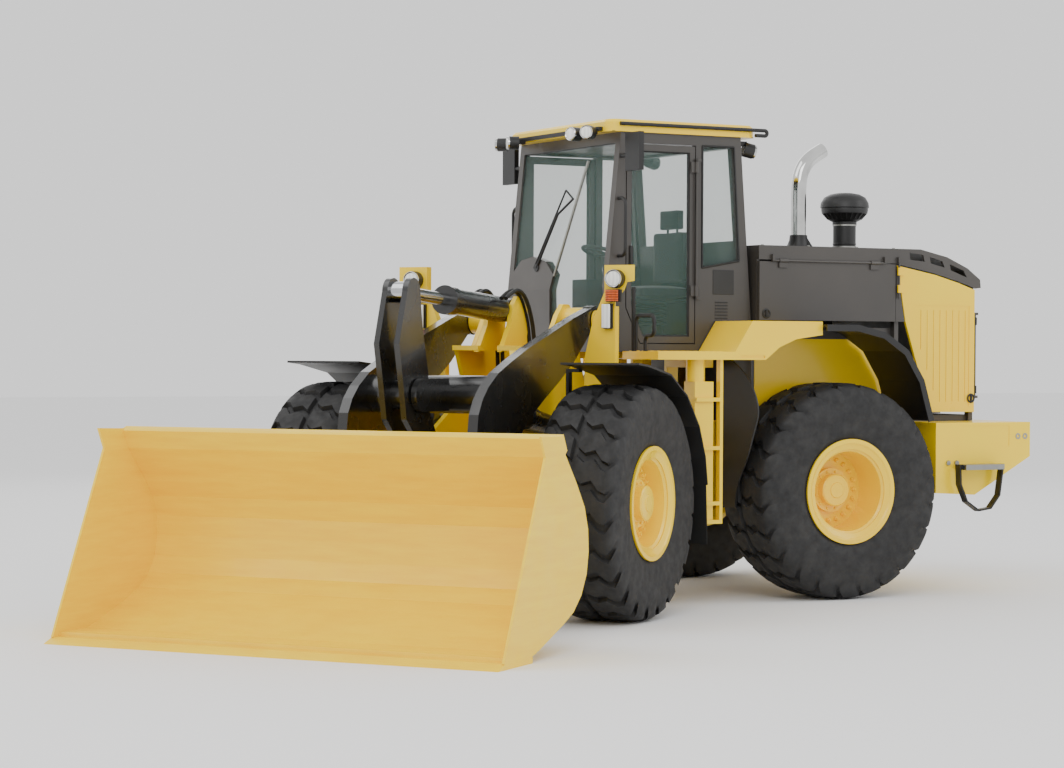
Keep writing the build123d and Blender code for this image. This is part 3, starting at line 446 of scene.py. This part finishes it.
def wheel_trim(name, body, place, disc):
    """Nuts round the wheel disc, the hub's cover bolts and the air valve."""
    bm = bmesh.new()
    for i in range(20):
        angle = 2 * math.pi * i / 20
        x, z = 232 * math.cos(angle), 232 * math.sin(angle)
        add_round(bm, (x, disc + 12, z), (x, disc + 40, z), 17, sides=6)
        add_round(bm, (x, disc + 38, z), (x, disc + 54, z), 9, sides=12)
    for i in range(12):
        angle = 2 * math.pi * (i + 0.5) / 12
        x, z = 143 * math.cos(angle), 143 * math.sin(angle)
        add_round(bm, (x, disc + 59, z), (x, disc + 72, z), 10, sides=6)
    hub_cover = [(122, 0), (122, 22), (112, 30), (60, 34), (55, 42), (1, 42), (1, 0)]
    add_spun(bm, hub_cover, (0, disc + 98, 0), (0, 1, 0))
    make_piece(name + "_nuts", finished_mesh(bm, name), body, yellow, place, 1.5)
    bm = bmesh.new()
    add_round(bm, (0, disc + 12, -275), (0, disc + 70, -300), 9, sides=12)
    add_round(bm, (0, disc + 70, -300), (0, disc + 92, -310), 13, sides=12)
    make_piece(name + "_valve", finished_mesh(bm, name), body, zinc_steel, place)
    bm = bmesh.new()
    ring = [(300, 236), (318, 246), (318, 262), (352, 276), (352, 270), (322, 258), (322, 240), (302, 230)]
    add_spun(bm, ring, (0, 0, 0), (0, 1, 0), 96)
    make_piece(name + "_lock_ring", finished_mesh(bm, name), body, yellow, place)


for end, disc in (("front", 110), ("rear", -40)):
    for side_name, side in SIDES:
        body = f"{end}_{side_name}_wheel"
        place = wheel_place(end, side)
        tyre = make_piece(f"{body}_tread", tyre_mesh(body), body, tyre_rubber, place, sharp=38)
        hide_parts(f"{end}_{side_name}_tyre")
        wheel_trim(body, body, place, disc)

# Exhaust and air intake on the hood


def exhaust_stack():
    """A chrome pipe that leans back at its tip, on a collar and two wedge-shaped legs."""
    bm = bmesh.new()
    profile = [(64, 0), (95, 0), (95, 26), (84, 44), (74, 90), (70, 128), (64, 128)]
    add_spun(bm, profile, (EXHAUST_X, 0, HOOD_TOP), UP)
    for y in (-50, 38):
        leg = [(-1871, HOOD_TOP), (-1990, 2700), (-2030, 2790), (-2110, 2790), (-2180, 2700), (-2290, HOOD_TOP)]
        sides = [[bm.verts.new((x, y + step, z)) for x, z in leg] for step in (0, 12)]
        bm.faces.new(sides[0])
        bm.faces.new(list(reversed(sides[1])))
        for i in range(len(leg)):
            k = (i + 1) % len(leg)
            bm.faces.new((sides[0][i], sides[1][i], sides[1][k], sides[0][k]))
    make_piece("exhaust_foot", finished_mesh(bm, "exhaust_foot"), "rear_frame", black_plastic)
    run = [(EXHAUST_X, 0, 2700), (EXHAUST_X, 0, 2980), (EXHAUST_X, 0, 3240), (-2120, 0, 3360), (-2200, 0, 3432),
           (-2300, 0, 3484)]
    pipe = tube_mesh(run, 61, "exhaust_pipe", sides=10)
    bm = bmesh.new()
    bm.from_mesh(pipe)
    tip = [face for face in bm.faces if len(face.verts) > 4 and face.calc_center_median().z > 3300]
    bmesh.ops.inset_region(bm, faces=tip, thickness=6)
    bmesh.ops.translate(bm, vec=(60, 0, -38), verts=list({v for face in tip for v in face.verts}))
    pipe = make_piece("exhaust_pipe", finished_mesh(bm, "exhaust_pipe"), "rear_frame", chrome_plate)
    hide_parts("exhaust")


def air_intake():
    """A ribbed stem held by two clamps, with a dust bowl and vanes under its dome."""
    bm = bmesh.new()
    stem = [(0.5, 0), (98, 0), (98, 20), (92, 24), (92, 60), (95, 64), (95, 70), (92, 74), (92, 220),
            (98, 224), (98, 246), (0.5, 246)]
    add_spun(bm, stem, (INTAKE_X, 0, HOOD_TOP), UP)
    cap = [(0.5, 0), (100, 0), (132, 16), (170, 62), (184, 68), (190, 100), (188, 108), (197, 114),
           (193, 152), (168, 196), (120, 222), (60, 233), (0.5, 235)]
    add_spun(bm, cap, (INTAKE_X, 0, 2914), UP, 64)
    for i in range(24):
        angle = 2 * math.pi * i / 24
        x, y = math.cos(angle), math.sin(angle)
        add_round(bm, (INTAKE_X + 134 * x, 134 * y, 2934), (INTAKE_X + 176 * x, 176 * y, 2980), 5, sides=6)
    bowl = make_piece("air_intake", finished_mesh(bm, "air_intake"), "rear_frame", black_plastic)
    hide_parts("precleaner")
    bm = bmesh.new()
    for z in (2700, 2880):
        add_spun(bm, [(92, 0), (97, 0), (97, 16), (92, 16)], (INTAKE_X, 0, z), UP)
    make_piece("intake_bands", finished_mesh(bm, "intake_bands"), "rear_frame", zinc_steel)


exhaust_stack()
air_intake()

# Cab: seat, wiper, handles, seams and lamps


def seat_cushions():
    """Crowned cushions with two channels, pulled in between their corners, on a post with bellows."""
    cushions = (
        # name, lowest and highest corner, and the axis that it is thin along
        ("seat_cushion", (-925, -238, 2262), (-475, 238, 2368), 2),
        ("seat_back", (-928, -228, 2390), (-824, 228, 2790), 0),
        ("seat_headrest", (-926, -140, 2806), (-836, 140, 2958), 0),
    )
    for name, low, high, flat_axis in cushions:
        low, high = Vector(low), Vector(high)
        middle, half = (low + high) / 2, (high - low) / 2
        bm = bmesh.new()
        bmesh.ops.create_cube(bm, size=2)
        bmesh.ops.subdivide_edges(bm, edges=bm.edges, cuts=13, use_grid_fill=True)
        others = [i for i in range(3) if i != flat_axis]
        for vert in bm.verts:
            u = Vector(vert.co)
            reach = [abs(u[i]) for i in others]
            crown = (1 - reach[0] ** 4) * (1 - reach[1] ** 4)
            pull = 0.05 * (1 - min(reach) ** 2)
            channel = 0.1 * math.exp(-((abs(u[1]) - 0.62) / 0.05) ** 2)
            for i in others:
                u[i] *= 1 - pull * abs(u[i]) ** 3 - 0.06 * (reach[0] * reach[1]) ** 6
            u[flat_axis] *= 0.55 + 0.45 * crown - channel * crown
            vert.co = middle + Vector([u[i] * half[i] for i in range(3)])
        piece = make_piece(name, finished_mesh(bm, name), "rear_frame", seat_cloth, sharp=80)
        rounding = piece.modifiers.new("rounding", "SUBSURF")
        rounding.levels = rounding.render_levels = 1
    bm = bmesh.new()
    add_round(bm, (-690, 0, 1906), (-690, 0, 2060), 120, 100)
    for step in range(6):
        add_spun(bm, [(90, 0), (126, 14), (126, 22), (90, 36)], (-690, 0, 2050 + step * 32), UP, 32)
    add_box(bm, (-900, -200, 2236), (-500, 200, 2262))
    add_box(bm, (-929, -215, 2262), (-912, 215, 2780))
    for y in (-70, 70):
        add_round(bm, (-890, y, 2770), (-890, y, 2830), 9, sides=12)
    make_piece("seat_base", finished_mesh(bm, "seat_base"), "rear_frame", trim_plastic)
    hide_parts("seat")


def closed_bead(bm, outline, y, radius):
    """A round rubber bead along a closed outline of (x, z) points."""
    for i, (x, z) in enumerate(outline):
        next_x, next_z = outline[(i + 1) % len(outline)]
        add_round(bm, (x, y, z), (next_x, y, next_z), radius, sides=8)


def wiper():
    """A motor boss on the dark cowl, two arms and a blade that leans across the screen."""
    bm = bmesh.new()
    add_round(bm, (104, -330, 2500), (142, -330, 2500), 30)
    arms = (
        ((138, -330, 2500), (112, -40, 2900), 10), ((132, -380, 2500), (96, 60, 3080), 7),
        ((112, -40, 2900), (84, 150, 3010), 9), ((96, 60, 3080), (84, 150, 3010), 7),
    )
    for start, end, radius in arms:
        add_round(bm, start, end, radius, sides=10)
    make_piece("wiper_arm", finished_mesh(bm, "wiper_arm"), "rear_frame", black_plastic)
    bm = bmesh.new()
    add_round(bm, (44, 312, 3290), (136, -47, 2430), 11, sides=8)
    make_piece("wiper_blade", finished_mesh(bm, "wiper_blade"), "rear_frame", zinc_steel)


def screen_gasket():
    bm = bmesh.new()
    for side in (1, -1):
        edge = side * 716
        add_round(bm, (74, edge, 2070), (128, edge, 2330), 9, sides=8)
        add_round(bm, (128, edge, 2330), (24, edge, 3400), 9, sides=8)
    add_round(bm, (24, -716, 3400), (24, 716, 3400), 9, sides=8)
    make_piece("screen_gasket", finished_mesh(bm, "screen_gasket"), "rear_frame", hose_rubber)


def cab_side(side_name, side):
    """Door handle, lock and seal, side window seal, louvre slots and a bare plate."""
    door = f"cab_door_{side_name}"
    bm = bmesh.new()
    add_box(bm, (-66, side * 790 - 7, 2470), (-40, side * 790 + 7, 2640))
    for z in (2480, 2622):
        add_round(bm, (-53, side * 778, z), (-53, side * 792, z), 10, sides=12)
    add_round(bm, (-53, side * 778, 2420), (-53, side * 790, 2420), 16, sides=20)
    make_piece(f"door_handle_{side_name}", finished_mesh(bm, "handle"), door, black_plastic, bevel_mm=4)
    bm = bmesh.new()
    closed_bead(bm, [(-58, 2204), (-58, 3343), (-560, 3343), (-560, 1972), (-162, 1972)], side * 764, 9)
    make_piece(f"door_seal_{side_name}", finished_mesh(bm, "seal"), door, hose_rubber)
    bm = bmesh.new()
    closed_bead(bm, [(-672, 3400), (-950, 3400), (-1000, 2545), (-672, 2487)], side * CAB_SIDE, 8)
    for i in range(10):
        z = 2010 + i * 24
        add_box(bm, (-900, side * CAB_SIDE - 4, z), (-790, side * CAB_SIDE + 4, z + 8))
    make_piece(f"cab_side_trim_{side_name}", finished_mesh(bm, "trim"), "rear_frame", hose_rubber)
    bm = bmesh.new()
    add_box(bm, (-955, side * CAB_SIDE - 3, 2290), (-770, side * CAB_SIDE + 3, 2475))
    make_piece(f"bare_plate_{side_name}", finished_mesh(bm, "plate"), "rear_frame", trim_plastic, bevel_mm=2)


def roof_gutter():
    bm = bmesh.new()
    for y in (-744, 744):
        add_box(bm, (-1120, y - 46, ROOF_LOW), (110, y + 46, ROOF_LOW + 4))
    make_piece("roof_gutter", finished_mesh(bm, "gutter"), "rear_frame", hose_rubber)


def cab_fittings():
    wiper()
    screen_gasket()
    for side_name, side in SIDES:
        cab_side(side_name, side)
    roof_gutter()


def lamp_face(name, body, place, start, aim, radius):
    """A round lamp's bright bezel and its domed lens, in front of start and facing along aim."""
    bm = bmesh.new()
    bezel = [(radius - 9, 0), (radius, 0), (radius, 14), (radius - 4, 18), (radius - 9, 14)]
    add_spun(bm, bezel, start, aim, 40)
    make_piece(f"{name}_bezel", finished_mesh(bm, name), body, chrome_plate, place)
    bm = bmesh.new()
    dome = [(0.4, 6), (radius * 0.5, 6), (radius - 10, 6), (radius - 10, 10), (radius * 0.8, 15),
            (radius * 0.5, 19), (radius * 0.2, 21), (0.4, 21)]
    add_spun(bm, dome, start, aim, 40)
    make_piece(f"{name}_lens", finished_mesh(bm, name), body, clear_lens, place)


def lamps():
    for tag, side in SIDES:
        for y, turn in ((469, 20), (654, 40)):
            a = math.radians(turn) * side
            aim = Vector((math.cos(a), math.sin(a), 0))
            face = Vector((225, side * y, 3468)) + 75 * aim
            lamp_face(f"work_lamp_{tag}_{y}", "rear_frame", REAR, face, aim, 50)
        lamp_face(f"rear_lamp_{tag}", "rear_frame", REAR, (-1160, side * 720, 3380), (-75, side * 20, -18), 52)
        lamp_face(f"head_lamp_{tag}", "front_frame", FRONT, (1115, side * 808, 2376), (1, 0, 0), 64)
        # The ribs of the turn lamp
        bm = bmesh.new()
        low, high = sorted((side * 742, side * 843))
        for i in range(7):
            z = 2216 + i * 12
            add_box(bm, (1112, low, z), (1119, high, z + 8))
        make_piece(f"turn_lamp_{tag}", finished_mesh(bm, "turn"), "front_frame", amber_lens, FRONT, 2)
        bm = bmesh.new()
        low, high = sorted((side * 716, side * 778))
        add_box(bm, (1100, low, 2024), (1118, high, 2194))
        make_piece(f"marker_lamp_{tag}", finished_mesh(bm, "marker"), "front_frame", clear_lens, FRONT, 5)
        # Three red blocks on the back of the counterweight
        bm = bmesh.new()
        for i in range(3):
            z = 1150 - i * 62
            add_box(bm, (-3426, side * 1120 - 46, z), (-3418, side * 1120 + 46, z + 50))
        make_piece(f"tail_lamp_{tag}", finished_mesh(bm, "tail"), "rear_frame", red_lens, bevel_mm=3)


# Front frame and boom


def oil_hoses():
    """Four hoses from the front frame, arching up beside the tilt cylinder."""
    for i, y in enumerate((-150, -110, 110, 150)):
        run = [(1010, y, 1700), (1020, y, 1960), (1120, y, 2180), (1240, y * 0.98, 2290),
               (1380, y * 0.95, 2290), (1500, y * 0.95, 2230)]
        hose = tube_mesh(run, 15, f"oil_hose_{i}")
        make_piece(f"oil_hose_{i}", hose, "front_frame", hose_rubber, FRONT)
        bm = bmesh.new()
        add_round(bm, (1010, y, 1680), (1011, y, 1740), 21, sides=6)
        make_piece(f"hose_fitting_{i}", finished_mesh(bm, "fitting"), "front_frame", zinc_steel, FRONT)


def pin_caps():
    """Round covers with a ring of bolts over the ends of the big pins."""
    ends = (
        # name, body, x, z, distance from the middle and radius
        ("boom_pin", "front_frame", 800, 2080, 532, 62), ("bucket_pin", "boom", 3240, 340, 528, 60),
    )
    for name, body, x, z, y, radius in ends:
        cover = [(0.5, 0), (radius, 0), (radius, 9), (radius - 8, 13), (0.5, 13)]
        for side_name, side in SIDES:
            bm = bmesh.new()
            add_spun(bm, cover, (x, side * y, z), (0, side, 0))
            for i in range(4):
                a = math.pi * (0.25 + i / 2)
                px, pz = x + radius * 0.62 * math.cos(a), z + radius * 0.62 * math.sin(a)
                add_round(bm, (px, side * (y + 10), pz), (px, side * (y + 22), pz), 10, sides=6)
            make_piece(f"{name}_{side_name}", finished_mesh(bm, name), body, zinc_steel, FRONT)


def hood_fittings():
    """Paddle latches in their dishes, ribs in the recessed panels, and bolts."""
    for side_name, side in SIDES:
        door = f"cooler_door_{side_name}"
        for body, x, z in ((door, -3140, 1500), (f"engine_door_{side_name}", -1200, 2150)):
            bm = bmesh.new()
            dish = [(22, 0), (38, 0), (38, 5), (30, 7), (22, 3)]
            add_spun(bm, dish, (x, side * HOOD_SIDE, z), (0, side, 0), 32)
            add_box(bm, (x - 9, side * 865 - 5, z - 24), (x + 9, side * 865 + 5, z + 24))
            make_piece(f"latch_{body}", finished_mesh(bm, "latch"), body, black_plastic, bevel_mm=2)
        # The front ribs end higher, where the panel's lower edge slopes up
        bm = bmesh.new()
        for i in range(8):
            x = -3085 + i * 62
            low = 1475 if x < -2810 else 1475 + (x + 2810) * 2.6
            add_round(bm, (x, side * 857, low), (x, side * 857, 2195), 5, sides=8)
        make_piece(f"cooler_ribs_{side_name}", finished_mesh(bm, "ribs"), door, yellow)
    bm = bmesh.new()
    for x in (-1180, -1600, -2050, -2400):
        for side in (1, -1):
            add_round(bm, (x, side * 830, HOOD_TOP), (x, side * 830, HOOD_TOP + 7), 11, sides=6)
    make_piece("hood_bolts", finished_mesh(bm, "hood_bolts"), "rear_frame", zinc_steel)
    bm = bmesh.new()
    for side in (1, -1):
        for x in (-3300, -3370):
            washer = [(11, 0), (24, 0), (24, 3), (11, 3)]
            add_spun(bm, washer, (x, side * COUNTERWEIGHT_SIDE, 1210), (0, side, 0), 24)
        for x in (-2620, -2700):
            outer = side * (COUNTERWEIGHT_SIDE + 14)
            add_round(bm, (x, side * COUNTERWEIGHT_SIDE, 1010), (x, outer, 1010), 20, sides=6)
    make_piece("counterweight_bolts", finished_mesh(bm, "bolts"), "rear_frame", zinc_steel)


def deck_treads():
    """Raised studs on the walkways, so that a boot holds on the wet deck."""
    for side_name, side in SIDES:
        bm = bmesh.new()
        for i in range(17):
            for k in range(9):
                x, y = -860 + i * 52 + (26 if k % 2 else 0), 830 + k * 50
                if -905 < x < 0 and abs(x + 611) > 30:
                    add_spun(bm, [(7, 0), (12, 0), (10, 4), (7, 4)], (x, side * y, DECK_TOP), UP, 8)
        make_piece(f"deck_studs_{side_name}", finished_mesh(bm, "studs"), "rear_frame", yellow)


seat_cushions()
cab_fittings()
hood_fittings()
deck_treads()
lamps()
oil_hoses()
pin_caps()

# The stage: floor, light and camera


def studio():
    mesh = bpy.data.meshes.new("floor")
    size = 80
    corners = [(-size, -size, 0), (size, -size, 0), (size, size, 0), (-size, size, 0)]
    mesh.from_pydata(corners, [], [(0, 1, 2, 3)])
    floor = bpy.data.objects.new("floor", mesh)
    floor_material, _, shader, _ = new_material("pale_floor")
    shader.inputs["Base Color"].default_value = hex_colour("#F4F4F4")
    shader.inputs["Roughness"].default_value = 0.9
    mesh.materials.append(floor_material)
    bpy.context.collection.objects.link(floor)
    world = bpy.data.worlds.new("studio")
    bpy.context.scene.world = world
    world.use_nodes = True
    sky = world.node_tree.nodes["Background"]
    sky.inputs["Color"].default_value = hex_colour("#FFFFFF")
    sky.inputs["Strength"].default_value = 1.15
    lights = (
        # place in metres from the machine's middle, size in metres and power in watts
        ((7, 14, 11), 9, 800), ((-12, 9, 9), 7, 400), ((9, -2, 12), 9, 450), ((-6, -14, 9), 9, 350),
    )
    for i, (place, size, power) in enumerate(lights):
        lamp = bpy.data.lights.new(f"softbox_{i}", "AREA")
        lamp.size = size
        lamp.energy = power
        box = bpy.data.objects.new(f"softbox_{i}", lamp)
        box.location = Vector((hinge_x, hinge_y, 0)) + Vector(place)
        aim = Vector((hinge_x, hinge_y, 1.3)) - box.location
        box.rotation_euler = aim.to_track_quat("-Z", "Y").to_euler()
        bpy.context.collection.objects.link(box)


CAMERA_PLACE = (9710, 17341, 1859)
CAMERA_YAW, CAMERA_PITCH, CAMERA_ROLL = (math.radians(angle) for angle in (241.64, -0.91, 0.28))
CAMERA_LENS = 87.94


def camera():
    level = math.cos(CAMERA_PITCH)
    ahead = Vector((level * math.cos(CAMERA_YAW), level * math.sin(CAMERA_YAW), math.sin(CAMERA_PITCH)))
    right = ahead.cross(Vector((0, 0, 1))).normalized()
    above = right.cross(ahead)
    rolled_right = math.cos(CAMERA_ROLL) * right + math.sin(CAMERA_ROLL) * above
    rolled_above = math.cos(CAMERA_ROLL) * above - math.sin(CAMERA_ROLL) * right
    data = bpy.data.cameras.new("camera")
    data.lens = CAMERA_LENS
    data.sensor_width = 36
    data.shift_y = 0.0076
    data.clip_end = 200
    holder = bpy.data.objects.new("camera", data)
    matrix = Matrix((rolled_right, rolled_above, -ahead)).transposed().to_4x4()
    matrix.translation = REAR @ Vector(CAMERA_PLACE)
    holder.matrix_world = matrix
    bpy.context.collection.objects.link(holder)
    bpy.context.scene.camera = holder


studio()
camera()
